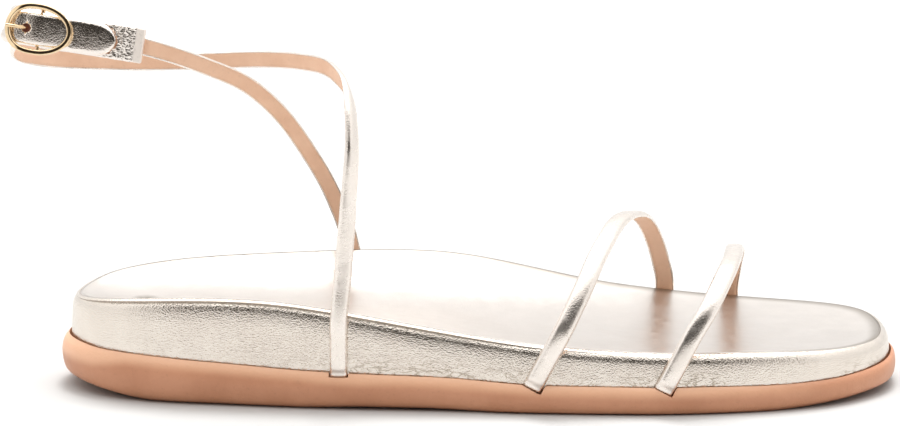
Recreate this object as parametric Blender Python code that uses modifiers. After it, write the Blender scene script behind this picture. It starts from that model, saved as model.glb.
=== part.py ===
"""Ankle strap sandal for the right foot: a leather-covered rand and sole, a wrapped footbed with an insole,
two toe straps, two ankle straps that cross, and a centre-bar buckle, fastened.

X runs from heel to toe, Y to the medial side and Z up. The origin is on the ground under the heel seat.
Every length is in metres. A table holds shares of the named sizes above it.
"""

import math

import bmesh
import bpy
import numpy as np

# Sole, measured from the back of the heel
SOLE_LENGTH = 0.255
SEAT_X = 0.045  # the origin, under the heel seat
HALF_WIDTH = 0.0433  # centre line to the lateral ball of the footbed's wall
RIM_HEIGHT = 0.0325
RAND_HEIGHT = 0.0155
RAND_OUT = 0.0027  # how far the rand stands out from the footbed's wall at the heel
RAND_OUT_TOE = 0.0014
RECESS_FLOOR = 0.70  # of the rand's height, where the footbed's underside lies
EDGE_IN = 0.0026  # the footbed's rounded top edge
EDGE_UP = 0.0040
WALL_DRAFT = 0.0004
EDGE_LIP = 0.0001  # from the rounded edge to the recess for the insole
UNDER_ROUND = 0.0006  # the footbed's lower corner
INSOLE_THICK = 0.0012
COVER_ROUND = 0.0003  # the insole's upper corner
DISH_POWER = 2.2
GAP = 0.0003  # between pieces that lie on one another
SIDE_STEPS = 30
SPINE_SHARE = 0.80
WALL_LENGTH = SOLE_LENGTH - RAND_OUT - RAND_OUT_TOE

# Straps
TOE_WIDTH = 0.0058
ANKLE_WIDTH = 0.0053
STRAP_THICK = 0.0020
ROOT_RISE = 0.0015  # above the rand, where a strap has its full thickness
ROOT_REACH = 0.0030  # above the rand, the least height at which it leaves the wall
TAIL_THICK = 0.0011
TAIL_DEPTH = 0.0010  # of a strap's end below the top of the rand
LOOP_HEIGHT = 0.120
TAB_WIDTH = 0.0104
TAB_THICK = 0.0013
TAB_TIP = 0.0236  # from the buckle's bar to the tip of the holed tab
TAB_ROUND = 0.0075
HOLE_AT = 0.0036  # from the bar, towards the heel
HOLE_RADIUS = 0.0014

# Buckle
BAR_RADIUS = 0.0006
RING_RADIUS = 0.0008
RING_HALF_LONG = 0.0098  # towards the toe, and a little less towards the heel
RING_HEEL_SHARE = 0.90
RING_SQUARE = 0.72  # how square the heel end is: 1 is an oval
RING_HALF_HIGH = 0.0068
PIN_RADIUS = 0.0005
EYE_WALL = 0.0007
KEEP_LENGTH = 0.0316  # the buckle tab, from the bar to its free end
KEEP_THICK = 0.0022
KEEP_LAP = 0.0120  # the medial ankle strap behind the buckle tab
TAB_SOFT = 0.0004  # the buckle tab's softened edges
LOOP_SLACK = 0.00005
EYE_IN = BAR_RADIUS + GAP
EYE_OUT = EYE_IN + EYE_WALL
PIN_LOOP = EYE_IN + PIN_RADIUS + LOOP_SLACK
TAB_UNDER = PIN_LOOP + PIN_RADIUS + GAP
RING_OUT = TAB_UNDER + TAB_THICK + GAP + RING_RADIUS
PIN_OVER = RING_OUT + RING_RADIUS + GAP + PIN_RADIUS
PIN_REACH = RING_HALF_LONG * RING_HEEL_SHARE + PIN_RADIUS

# Plan and heights of the footbed along its wall: shares of WALL_LENGTH, HALF_WIDTH, RIM_HEIGHT (the two rims
# and the seat) and RAND_HEIGHT
SOLE_COLUMNS = ("along", "lateral", "medial", "rim_lateral", "rim_medial", "seat", "rand")
SOLE_TABLE = (
    (0.000, 0.000, 0.000, 0.849, 0.849, 0.849, 1.000),
    (0.013, 0.277, 0.277, 0.883, 0.874, 0.818, 0.994),
    (0.041, 0.462, 0.457, 0.917, 0.923, 0.797, 0.955),
    (0.077, 0.577, 0.566, 0.951, 0.957, 0.788, 0.929),
    (0.115, 0.654, 0.630, 0.975, 0.985, 0.785, 0.903),
    (0.188, 0.727, 0.665, 0.997, 1.025, 0.782, 0.839),
    (0.258, 0.792, 0.670, 0.985, 1.049, 0.775, 0.781),
    (0.366, 0.859, 0.681, 0.868, 1.074, 0.745, 0.710),
    (0.470, 0.905, 0.762, 0.732, 1.025, 0.665, 0.665),
    (0.554, 0.965, 0.866, 0.640, 0.868, 0.582, 0.581),
    (0.650, 0.993, 0.958, 0.585, 0.683, 0.514, 0.555),
    (0.714, 1.000, 0.982, 0.560, 0.612, 0.489, 0.548),
    (0.794, 0.947, 0.965, 0.554, 0.557, 0.477, 0.535),
    (0.859, 0.858, 0.912, 0.536, 0.535, 0.468, 0.512),
    (0.923, 0.698, 0.800, 0.508, 0.532, 0.462, 0.530),
    (0.967, 0.475, 0.620, 0.492, 0.538, 0.458, 0.575),
    (0.991, 0.255, 0.400, 0.492, 0.530, 0.470, 0.625),
    (1.000, -0.058, 0.058, 0.508, 0.508, 0.508, 0.670),
)

# Lift of the underside off the ground, flat under the heel and the ball: shares of SOLE_LENGTH and HEEL_LIFT
HEEL_LIFT = 0.0030
LIFT_TABLE = (
    (0.000, 1.00),
    (0.120, 0.00),
    (0.300, 0.00),
    (0.360, 0.20),
    (0.440, 0.20),
    (0.520, 0.00),
    (0.820, 0.00),
    (1.000, 0.67),
)

# Outline of the rand's section: shares of RAND_OUT out from the wall and of the rand's height
RAND_PROFILE = (
    (-0.45, 0.02),
    (0.45, 0.12),
    (0.85, 0.30),
    (1.00, 0.52),
    (0.93, 0.72),
    (0.62, 0.90),
    (0.25, 1.00),
    (0.11, 0.97),
)

# Section of a strap: shares of its width across and of its thickness out from the lining
STRAP_SECTION = (
    (-0.47, 0.0),
    (0.47, 0.0),
    (0.50, 0.15),
    (0.50, 0.50),
    (0.36, 0.86),
    (0.0, 1.0),
    (-0.36, 0.86),
    (-0.50, 0.50),
    (-0.50, 0.15),
)
BOX_SECTION = ((-0.5, 0.0), (0.5, 0.0), (0.5, 1.0), (-0.5, 1.0))

# Straps above the footbed, along, across and up: shares of SOLE_LENGTH, HALF_WIDTH and LOOP_HEIGHT
REAR_TOE = (
    (0.597, -0.970, 0.208),
    (0.610, -0.912, 0.261),
    (0.625, -0.808, 0.321),
    (0.636, -0.693, 0.366),
    (0.648, -0.543, 0.402),
    (0.667, -0.185, 0.428),
    (0.694, 0.254, 0.402),
    (0.715, 0.670, 0.305),
    (0.723, 0.831, 0.241),
    (0.728, 0.924, 0.191),
)
REAR_TOE_ROOTS = (0.564, 0.729)  # along, at the rand: lateral and medial
FRONT_TOE = (
    (0.750, -0.958, 0.202),
    (0.767, -0.889, 0.257),
    (0.780, -0.774, 0.301),
    (0.790, -0.624, 0.330),
    (0.800, -0.323, 0.343),
    (0.806, 0.046, 0.337),
    (0.810, 0.370, 0.300),
    (0.810, 0.600, 0.260),
    (0.809, 0.785, 0.213),
    (0.808, 0.901, 0.171),
)
FRONT_TOE_ROOTS = (0.717, 0.808)

# The same, the outward side's bearing in degrees from the toe towards medial, and the share of the width
LATERAL_ANKLE = (
    (0.341, -0.808, 0.339, -90, 1.00),
    (0.347, -0.762, 0.528, -90, 1.00),
    (0.350, -0.693, 0.675, -86, 1.00),
    (0.344, -0.508, 0.775, -60, 1.00),
    (0.325, -0.208, 0.813, 10, 1.00),
    (0.286, 0.208, 0.811, 50, 1.00),
    (0.239, 0.462, 0.800, 70, 1.00),
    (0.155, 0.624, 0.784, 86, 1.00),
    (0.054, 0.647, 0.782, 92, 1.00),
    (-0.034, 0.485, 0.808, 122, 1.15),
    (-0.052, 0.162, 0.856, 170, 1.45),
    (-0.039, -0.208, 0.938, 208, 1.95),
)
LATERAL_ROOT = 0.336
MEDIAL_ANKLE = (
    (0.345, 0.690, 0.288, 90, 1.00),
    (0.324, 0.577, 0.433, 90, 1.00),
    (0.296, 0.346, 0.565, 90, 1.00),
    (0.259, 0.046, 0.699, 90, 1.00),
    (0.221, -0.231, 0.788, 90, 1.00),
    (0.181, -0.439, 0.841, 90, 1.00),
    (0.142, -0.554, 0.879, 86, 1.00),
)
MEDIAL_ROOT = 0.348

# Buckle: its bar's middle and the way its tab runs
BUCKLE_AT = (-0.0119 * SOLE_LENGTH, -0.0210, 0.937 * LOOP_HEIGHT)
BUCKLE_ALONG = (0.978, -0.170, -0.125)
BUCKLE_LEAN = 12  # degrees that its face leans back

# Colours, red green blue
GOLD = (0.80, 0.72, 0.60)
TAN = (0.62, 0.36, 0.22)
BRASS = (0.72, 0.52, 0.28)


def curve_through(places, values):
    """A smooth function through the given values, with slopes from neighbouring points."""
    places = np.asarray(places, float)
    values = np.asarray(values, float)
    slopes = np.gradient(values, places, axis=0)

    def at(where):
        where = np.atleast_1d(np.asarray(where, float))
        left = np.clip(np.searchsorted(places, where) - 1, 0, len(places) - 2)
        span = places[left + 1] - places[left]
        part = (where - places[left]) / span
        if values.ndim > 1:
            part = part[:, None]
            span = span[:, None]
        start = 2 * part**3 - 3 * part**2 + 1
        leave = part**3 - 2 * part**2 + part
        arrive = part**3 - part**2
        return (
            start * values[left]
            + leave * span * slopes[left]
            + (1 - start) * values[left + 1]
            + arrive * span * slopes[left + 1]
        )

    return at


def turn_of(along):
    """The half turn that a share of the length stands for, which keeps the round ends smooth."""
    return np.arccos(1 - 2 * np.clip(along, 0, 1))


SOLE_AT = {
    name: curve_through([turn_of(row[0]) for row in SOLE_TABLE], [row[column] for row in SOLE_TABLE])
    for column, name in enumerate(SOLE_COLUMNS)
}


def sole_value(name, x):
    return SOLE_AT[name](turn_of((np.asarray(x) - RAND_OUT) / WALL_LENGTH))


def lift(x):
    """The underside's height, eased from one row of LIFT_TABLE to the next."""
    places = [row[0] * SOLE_LENGTH for row in LIFT_TABLE]
    heights = np.array([row[1] * HEEL_LIFT for row in LIFT_TABLE])
    x = np.clip(x, places[0], places[-1])
    left = np.clip(np.searchsorted(places, x, side="right") - 1, 0, len(places) - 2)
    part = (x - np.take(places, left)) / (np.take(places, left + 1) - np.take(places, left))
    eased = part * part * (3 - 2 * part)
    return heights[left] * (1 - eased) + heights[left + 1] * eased


def outline():
    """The footbed's wall in plan, once round from the back of the heel along the lateral side, with its
    outward directions and the column of the table that its rim follows."""
    turns = np.linspace(0, math.pi, SIDE_STEPS + 1)
    x = RAND_OUT + WALL_LENGTH * (1 - np.cos(turns)) / 2
    lateral = np.stack([x, -SOLE_AT["lateral"](turns) * HALF_WIDTH], 1)
    medial = np.stack([x, SOLE_AT["medial"](turns) * HALF_WIDTH], 1)
    points = np.concatenate([lateral, medial[-2:0:-1]])
    rims = np.concatenate([SOLE_AT["rim_lateral"](turns), SOLE_AT["rim_medial"](turns)[-2:0:-1]])
    along = np.roll(points, -1, axis=0) - np.roll(points, 1, axis=0)
    out = np.stack([along[:, 1], -along[:, 0]], 1)
    out = out / np.linalg.norm(out, axis=1, keepdims=True)
    return points, out, rims * RIM_HEIGHT


WALL, WALL_OUT, RIM = outline()
RAND_TOP = sole_value("rand", WALL[:, 0]) * RAND_HEIGHT
RAND_OUTS = RAND_OUT + (RAND_OUT_TOE - RAND_OUT) * WALL[:, 0] / SOLE_LENGTH
ROUND = len(WALL)


def ring(outset, heights):
    """The wall's outline moved outwards, at these heights."""
    plan = WALL + WALL_OUT * np.broadcast_to(outset, ROUND)[:, None]
    return np.column_stack([plan, np.broadcast_to(heights, ROUND)])


def spine():
    """The line that every inner ring shrinks to, as one point for each point of the outline."""
    across = (WALL + WALL[(-np.arange(ROUND)) % ROUND]) / 2
    middle = SOLE_LENGTH / 2
    x = middle + (across[:, 0] - middle) * SPINE_SHARE
    centre = (sole_value("medial", x) - sole_value("lateral", x)) * HALF_WIDTH / 2
    return x, centre


def inner_rings(edge, shares, height_at):
    """Rings from an outer one towards the spine; height_at takes a ring's x and its share."""
    x, y = spine()
    rings = []
    for share in shares:
        plan = edge[:, :2] * share + np.column_stack([x, y]) * (1 - share)
        rings.append(np.column_stack([plan, height_at(plan[:, 0], share)]))
    return rings


def dish(x, share):
    """Height of the insole's top, from the seat in the middle to the rim."""
    low = sole_value("seat", x) * RIM_HEIGHT
    return low + (RIM - low) * share**DISH_POWER


def loft(name, rings, material):
    """A closed solid from rings that go from the underside's spine, out and up, to the top's spine."""
    points = [tuple(p) for one in rings for p in one]
    faces = []
    for row in range(len(rings) - 1):
        for i in range(ROUND):
            j = (i + 1) % ROUND
            faces.append((row * ROUND + i, row * ROUND + j, (row + 1) * ROUND + j, (row + 1) * ROUND + i))
    return solid(name, points, faces, material)


def solid(name, points, faces, material, into="Ankle strap sandal"):
    """A mesh object moved to the origin under the seat, with coinciding points made one and faces out."""
    mesh = bpy.data.meshes.new(name)
    mesh.from_pydata([(x - SEAT_X, y, z) for x, y, z in points], [], faces)
    work = bmesh.new()
    work.from_mesh(mesh)
    bmesh.ops.remove_doubles(work, verts=work.verts, dist=0.00001)
    bmesh.ops.recalc_face_normals(work, faces=work.faces)
    work.to_mesh(mesh)
    work.free()
    item = bpy.data.objects.new(name, mesh)
    bpy.data.collections[into].objects.link(item)
    mesh.materials.append(material)
    mesh.shade_smooth()
    return item


def material_of(name, colour, metallic, roughness):
    material = bpy.data.materials.new(name)
    material.use_nodes = True
    shader = material.node_tree.nodes["Principled BSDF"]
    shader.inputs["Base Color"].default_value = (*colour, 1.0)
    shader.inputs["Metallic"].default_value = metallic
    shader.inputs["Roughness"].default_value = roughness
    return material


def unit(v):
    v = np.asarray(v, float)
    return v / np.linalg.norm(v, axis=-1, keepdims=True)


def on_wall(x, side, height):
    """A strap's lining against the wall, and the wall's outward direction there."""
    column = "lateral" if side < 0 else "medial"
    step = 0.0005
    y = side * sole_value(column, x)[0] * HALF_WIDTH
    ahead = side * sole_value(column, x + step)[0] * HALF_WIDTH
    out = unit([-(ahead - y) / step, 1.0, 0.0]) * side
    return np.array([x, y, height]) + out * GAP, out


def root_rows(along, side, lean=0.0):
    """Rows from a strap's end in the rand to the start of the footbed's rounded edge."""
    x = along * SOLE_LENGTH
    top = sole_value("rand", x)[0] * RAND_HEIGHT
    column = "rim_lateral" if side < 0 else "rim_medial"
    edge = sole_value(column, x)[0] * RIM_HEIGHT - EDGE_UP
    rows = []
    leave = max(edge, top + ROOT_REACH)
    for height in (top - TAIL_DEPTH, top, top + ROOT_RISE, 0.4 * top + 0.6 * leave, leave):
        place, out = on_wall(x + lean * (height - top), side, height)
        rows.append((place, out))
    return rows


def ribbon_rings(rows, widths, thicks, count, section):
    """Sections along a smooth line through rows of (lining point, outward direction)."""
    places = np.array([row[0] for row in rows])
    outs = np.array([row[1] for row in rows])
    steps = np.concatenate([[0], np.cumsum(np.linalg.norm(np.diff(places, axis=0), axis=1))])
    line = curve_through(steps, places)
    shares = np.linspace(0, 1, count) if np.isscalar(count) else np.asarray(count)
    where = shares * steps[-1]
    centre = line(where)
    ahead = line(np.clip(where + 1e-5, 0, steps[-1]))
    behind = line(np.clip(where - 1e-5, 0, steps[-1]))
    tangent = unit(ahead - behind)
    out = np.stack([np.interp(where, steps, outs[:, k]) for k in range(3)], 1)
    out = unit(out - tangent * np.sum(out * tangent, axis=1, keepdims=True))
    across = np.cross(tangent, out)
    wide = np.interp(where, steps, widths)
    thick = np.interp(where, steps, thicks)
    return [
        [tuple(centre[k] + across[k] * a * wide[k] + out[k] * o * thick[k]) for a, o in section]
        for k in range(len(where))
    ]


def ribbon(name, rings, material, into="Ankle strap sandal"):
    size = len(rings[0])
    points = [p for one in rings for p in one]
    faces = [tuple(range(size - 1, -1, -1)), tuple(range((len(rings) - 1) * size, len(rings) * size))]
    for row in range(len(rings) - 1):
        for i in range(size):
            j = (i + 1) % size
            faces.append((row * size + i, row * size + j, (row + 1) * size + j, (row + 1) * size + i))
    return solid(name, points, faces, material, into)


def boolean(target, cutter, operation):
    modifier = target.modifiers.new(cutter.name, "BOOLEAN")
    modifier.operation = operation
    modifier.solver = "EXACT"
    modifier.object = cutter


def pocket(name, root, side, width, lean=0.0):
    """Room in the rand for a strap's end."""
    x = root * SOLE_LENGTH
    top = sole_value("rand", x)[0] * RAND_HEIGHT
    rows = []
    for height in (top - TAIL_DEPTH - GAP, top + ROOT_REACH):
        place, out = on_wall(x + lean * (height - top), side, height)
        rows.append((place - out * 2 * GAP, out))
    size = TAIL_THICK + 3 * GAP
    wide = width + 2 * GAP
    return ribbon(name, ribbon_rings(rows, [wide] * 2, [size] * 2, 2, BOX_SECTION), TAN_LEATHER, "Cutters")


def rise_of(rows, roots):
    """How far a toe strap's leg leans towards the toe for its height, at its lateral root."""
    top = sole_value("rand", roots * SOLE_LENGTH)[0] * RAND_HEIGHT
    return (rows[0][0] - roots) * SOLE_LENGTH / (rows[0][2] * LOOP_HEIGHT - top)


def toe_strap(name, table, roots):
    """A toe strap from its lateral root over the foot to its medial root."""
    free = []
    for along, across, up in table:
        place = np.array([along * SOLE_LENGTH, across * HALF_WIDTH, up * LOOP_HEIGHT])
        centre = np.array([place[0], 0.0, RIM_HEIGHT * 0.6])
        free.append((place, unit(place - centre)))
    lean = rise_of(table, roots[0])
    rows = root_rows(roots[0], -1, lean) + free + root_rows(roots[1], 1)[::-1]
    thicks = [TAIL_THICK] * 2 + [STRAP_THICK] * (len(rows) - 4) + [TAIL_THICK] * 2
    rings = ribbon_rings(rows, [TOE_WIDTH] * len(rows), thicks, 46, STRAP_SECTION)
    strap = ribbon(name, rings, GOLD_LEATHER)
    cutters = [
        pocket(name + " lateral pocket", roots[0], -1, TOE_WIDTH, lean),
        pocket(name + " medial pocket", roots[1], 1, TOE_WIDTH),
    ]
    return strap, cutters


def ankle_rows(table):
    rows = []
    for along, across, up, bearing, _ in table:
        place = np.array([along * SOLE_LENGTH, across * HALF_WIDTH, up * LOOP_HEIGHT])
        turn = math.radians(bearing)
        rows.append((place, np.array([math.cos(turn), math.sin(turn), 0.0])))
    return rows


# The buckle's own directions: along its tab, out from the ankle, and up across the tab
BUCKLE_U = unit(BUCKLE_ALONG)
UPRIGHT_W = unit(np.cross(BUCKLE_U, (0.0, 0.0, 1.0)))
UPRIGHT_V = np.cross(UPRIGHT_W, BUCKLE_U)
LEAN = math.radians(BUCKLE_LEAN)
BUCKLE_W = UPRIGHT_W * math.cos(LEAN) + UPRIGHT_V * math.sin(LEAN)
BUCKLE_V = np.cross(BUCKLE_W, BUCKLE_U)


def at_buckle(u, v, w):
    return np.array(BUCKLE_AT) + BUCKLE_U * u + BUCKLE_V * v + BUCKLE_W * w


def lateral_ankle_strap():
    """From the lateral root over the instep, round the back of the ankle, to the holed tab in the buckle."""
    rows = root_rows(LATERAL_ROOT, -1) + ankle_rows(LATERAL_ANKLE)
    narrow = [ANKLE_WIDTH] * 5 + [ANKLE_WIDTH * row[4] for row in LATERAL_ANKLE]
    thicks = [TAIL_THICK] * 2 + [STRAP_THICK] * (len(rows) - 5) + [TAB_THICK * 1.2] * 3
    tab = (-0.0078, -0.0040, 0.0, 0.006, 0.012, TAB_TIP - TAB_ROUND, TAB_TIP)
    for u in tab:
        rows.append((at_buckle(u, 0, TAB_UNDER), BUCKLE_W))
        narrow.append(TAB_WIDTH)
        thicks.append(TAB_THICK)
    places = np.array([row[0] for row in rows])
    steps = np.concatenate([[0], np.cumsum(np.linalg.norm(np.diff(places, axis=0), axis=1))])
    total = steps[-1]
    body = np.linspace(0, 1 - TAB_ROUND / total, 84)
    tip = 1 - TAB_ROUND / total * (1 - np.sin(np.linspace(0, 0.47 * math.pi, 8)[1:]))
    where = np.concatenate([body, tip])
    rings = ribbon_rings(rows, narrow, thicks, where, STRAP_SECTION)
    for k in range(len(body), len(where)):
        part = (where[k] - body[-1]) / (1 - body[-1])
        middle = at_buckle(TAB_TIP - TAB_ROUND * (1 - part), 0, TAB_UNDER)
        keep = math.sqrt(1 - part * part)
        points = np.array(rings[k])
        points += BUCKLE_V * ((points - middle) @ BUCKLE_V)[:, None] * (keep - 1)
        rings[k] = [tuple(p) for p in points]
    return ribbon("ankle_strap_lateral", rings, GOLD_LEATHER)


def medial_ankle_strap():
    """From the medial root over the instep to its end behind the buckle tab."""
    rows = root_rows(MEDIAL_ROOT, 1) + ankle_rows(MEDIAL_ANKLE)
    behind = -KEEP_THICK / 2 - GAP
    for u in (KEEP_LENGTH - 0.001, KEEP_LENGTH - KEEP_LAP):
        rows.append((at_buckle(u, 0, behind), -BUCKLE_W))
    thicks = [TAIL_THICK] * 2 + [STRAP_THICK] * (len(rows) - 2)
    rings = ribbon_rings(rows, [ANKLE_WIDTH] * len(rows), thicks, 60, STRAP_SECTION)
    return ribbon("ankle_strap_medial", rings, GOLD_LEATHER)


def block(name, low, high, material, into):
    """A box in the buckle's directions."""
    corners = [(u, v, w) for w in (low[2], high[2]) for v in (low[1], high[1]) for u in (low[0], high[0])]
    faces = [(0, 2, 3, 1), (4, 5, 7, 6), (0, 1, 5, 4), (2, 6, 7, 3), (0, 4, 6, 2), (1, 3, 7, 5)]
    return solid(name, [tuple(at_buckle(*c)) for c in corners], faces, material, into)


def rod(name, points, radius, material, into, closed=False, sides=2):
    """A round rod along points in the buckle's directions, as a curve made into a mesh."""
    curve = bpy.data.curves.new(name, "CURVE")
    curve.dimensions = "3D"
    line = curve.splines.new("POLY")
    line.points.add(len(points) - 1)
    for point, place in zip(line.points, points):
        x, y, z = at_buckle(*place)
        point.co = (x - SEAT_X, y, z, 1.0)
    line.use_cyclic_u = closed
    curve.bevel_depth = radius
    curve.bevel_resolution = sides
    curve.use_fill_caps = True
    shape = bpy.data.objects.new(name + " line", curve)
    mesh = bpy.data.meshes.new_from_object(shape)
    bpy.data.objects.remove(shape)
    work = bmesh.new()
    work.from_mesh(mesh)
    bmesh.ops.remove_doubles(work, verts=work.verts, dist=0.00001)
    bmesh.ops.recalc_face_normals(work, faces=work.faces)
    work.to_mesh(mesh)
    work.free()
    mesh.materials.append(material)
    item = bpy.data.objects.new(name, mesh)
    bpy.data.collections[into].objects.link(item)
    mesh.shade_smooth()
    return item


def bore(name, u, w, radius, along, length):
    """A cylinder cutter through the buckle's point (u, 0, w)."""
    half = length / 2
    across = ((u, -half, w), (u, half, w))
    through = ((u, 0, w - half), (u, 0, w + half))
    ends = across if along == "v" else through
    return rod(name, ends, radius, TAN_LEATHER, "Cutters", sides=4)


def buckle_tab():
    """The strip folded round the buckle's bar, with room in its fold for the pin."""
    ends = ((0.0, -TAB_WIDTH / 2, -KEEP_THICK / 2), (KEEP_LENGTH, TAB_WIDTH / 2, KEEP_THICK / 2))
    strip = block("buckle_tab", *ends, GOLD_LEATHER, "Ankle strap sandal")
    soft = strip.modifiers.new("soft edges", "BEVEL")
    soft.width = TAB_SOFT
    soft.segments = 2
    side = TAB_WIDTH / 2 - 1.5 * TAB_SOFT
    fold = rod("fold", ((0, -side, 0), (0, side, 0)), EYE_OUT, GOLD_LEATHER, "Cutters", sides=4)
    boolean(strip, fold, "UNION")
    boolean(strip, bore("bar hole", 0, 0, EYE_IN, "v", TAB_WIDTH * 1.5), "DIFFERENCE")
    room = PIN_RADIUS + GAP
    reach = PIN_LOOP + PIN_RADIUS + GAP
    notch = block("pin notch", (-reach, -room, -reach), (reach, room, reach), TAN_LEATHER, "Cutters")
    boolean(strip, notch, "DIFFERENCE")
    return strip


def ring_point(turn):
    """A point of the ring's centre line: oval towards the toe and squarer towards the heel."""
    along = math.cos(turn)
    if along < 0:
        along = -RING_HEEL_SHARE * abs(along) ** RING_SQUARE
    return (RING_HALF_LONG * along, RING_HALF_HIGH * math.sin(turn), RING_OUT)


def buckle_frame():
    """An oval ring with a bar that dips behind the holed tab."""
    oval = [ring_point(turn) for turn in np.linspace(0, 2 * math.pi, 33)[:-1]]
    frame = rod("buckle_frame", oval, RING_RADIUS, GOLD_METAL, "Ankle strap sandal", closed=True)
    low = TAB_WIDTH / 2 + 2 * GAP
    posts = (
        (0, RING_HALF_HIGH, RING_OUT),
        (0, RING_HALF_HIGH - 0.0003, RING_OUT * 0.35),
        (0, low, 0),
        (0, -low, 0),
        (0, -RING_HALF_HIGH + 0.0003, RING_OUT * 0.35),
        (0, -RING_HALF_HIGH, RING_OUT),
    )
    boolean(frame, rod("bar", posts, BAR_RADIUS, GOLD_METAL, "Cutters"), "UNION")
    return frame


def buckle_pin():
    """The pin, looped round the bar, through the hole in the tab and over the ring towards the heel."""
    turns = np.linspace(0, 2 * math.pi, 17)[:-1]
    loop = [(PIN_LOOP * math.sin(t), 0, PIN_LOOP * math.cos(t)) for t in turns]
    pin = rod("buckle_pin", loop, PIN_RADIUS, GOLD_METAL, "Ankle strap sandal", closed=True)
    path = curve_through(
        (0, 1, 2, 3, 4, 5, 6),
        (
            (0.0, 0, PIN_LOOP + LOOP_SLACK),
            (-0.0016, 0, PIN_LOOP + 2 * LOOP_SLACK),
            (-HOLE_AT + 0.0007, 0, TAB_UNDER),
            (-HOLE_AT - 0.0001, 0, TAB_UNDER + TAB_THICK),
            (-HOLE_AT - 0.0013, 0, RING_OUT + 0.0005),
            (-PIN_REACH + 0.0026, 0, PIN_OVER),
            (-PIN_REACH, 0, PIN_OVER),
        ),
    )
    points = path(np.linspace(0, 6, 19))
    boolean(pin, rod("shank", points, PIN_RADIUS * 1.02, GOLD_METAL, "Cutters"), "UNION")
    return pin


def outsole():
    """The sole and its rand in one: flat under the heel and forefoot, with a recess for the footbed."""
    ground = lift(WALL[:, 0])
    high = RAND_TOP - ground
    flat = ring(-1.3 * RAND_OUTS, ground)
    flat[:, 2] = lift(flat[:, 0])
    rings = inner_rings(flat, (0.0, 0.35, 0.7), lambda x, share: lift(x)) + [flat]
    for out, up in RAND_PROFILE:
        rings.append(ring(out * RAND_OUTS, ground + high * up))
    floor = ring(GAP, RAND_TOP * RECESS_FLOOR)
    rings.append(floor)
    floors = inner_rings(floor, (0.7, 0.35, 0.0), lambda x, share: floor_at(x))
    return loft("outsole", rings + floors, TAN_LEATHER)


def floor_at(x):
    return sole_value("rand", x) * RAND_HEIGHT * RECESS_FLOOR


def footbed():
    """The wrapped footbed, with its rounded top edge and a recess for the insole."""
    under = ring(-UNDER_ROUND, RAND_TOP * RECESS_FLOOR + GAP)
    rings = inner_rings(under, (0.0, 0.35, 0.7), lambda x, share: floor_at(x) + GAP) + [under]
    edge_up = np.minimum(EDGE_UP, 0.75 * (RIM - RAND_TOP))
    rings.append(ring(0.0, RAND_TOP * RECESS_FLOOR + GAP + UNDER_ROUND))
    for turn in np.radians((0, 22, 45, 67, 90)):
        out = -WALL_DRAFT - EDGE_IN * (1 - math.cos(turn))
        rings.append(ring(out, RIM - edge_up * (1 - math.sin(turn))))
    step = INSOLE_THICK + GAP
    seat = ring(-WALL_DRAFT - EDGE_IN - EDGE_LIP, RIM - step)
    rings.append(seat)
    rings += inner_rings(seat, (0.85, 0.65, 0.4, 0.0), lambda x, share: dish(x, share) - step)
    return loft("footbed", rings, GOLD_LEATHER)


def insole():
    """The thin top cover, set into the footbed's recess."""
    inset = WALL_DRAFT + EDGE_IN + EDGE_LIP + GAP
    edge = ring(-inset, RIM)
    shares = (0.0, 0.4, 0.65, 0.85)
    rings = inner_rings(edge, shares, lambda x, share: dish(x, share) - INSOLE_THICK)
    rings.append(ring(-inset, RIM - INSOLE_THICK))
    rings.append(ring(-inset, RIM - COVER_ROUND))
    rings.append(ring(-inset - COVER_ROUND, RIM))
    rings += inner_rings(edge, shares[::-1], dish)
    return loft("insole", rings, GOLD_LEATHER)


for old in list(bpy.data.objects):
    bpy.data.objects.remove(old)
for label in ("Ankle strap sandal", "Cutters"):
    group = bpy.data.collections.new(label)
    bpy.context.scene.collection.children.link(group)
bpy.data.collections["Cutters"].hide_render = True

GOLD_LEATHER = material_of("Metallic leather", GOLD, 0.9, 0.35)
TAN_LEATHER = material_of("Tan leather", TAN, 0.0, 0.5)
GOLD_METAL = material_of("Brass", BRASS, 1.0, 0.2)

sole = outsole()
footbed()
insole()
pockets = []
for label, table, roots in (
    ("toe_strap_rear", REAR_TOE, REAR_TOE_ROOTS),
    ("toe_strap_front", FRONT_TOE, FRONT_TOE_ROOTS),
):
    pockets += toe_strap(label, table, roots)[1]
ankle = lateral_ankle_strap()
boolean(ankle, bore("tab hole", -HOLE_AT, TAB_UNDER, HOLE_RADIUS, "w", 0.006), "DIFFERENCE")
medial_ankle_strap()
pockets.append(pocket("lateral ankle pocket", LATERAL_ROOT, -1, ANKLE_WIDTH))
pockets.append(pocket("medial ankle pocket", MEDIAL_ROOT, 1, ANKLE_WIDTH))
for cutter in pockets:
    boolean(sole, cutter, "DIFFERENCE")
buckle_tab()
buckle_frame()
buckle_pin()
for cutter in bpy.data.collections["Cutters"].objects:
    cutter.display_type = "WIRE"
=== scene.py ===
"""Looks of the ankle strap sandal: metallic leather over the footbed and straps, a tan leather rand, soft
tan strap linings and a polished buckle, in a pale studio.

Lengths are in metres in the row frame: X from heel to toe, Y to the medial side, Z up, and the origin on the
ground under the heel seat. The strap tables repeat the routes of the CAD source, and turn the rising lateral
strap's face more towards the toe.
"""

import math

import bmesh
import bpy
import numpy as np
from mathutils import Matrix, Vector, noise
from mathutils.bvhtree import BVHTree
from mathutils.kdtree import KDTree


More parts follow.
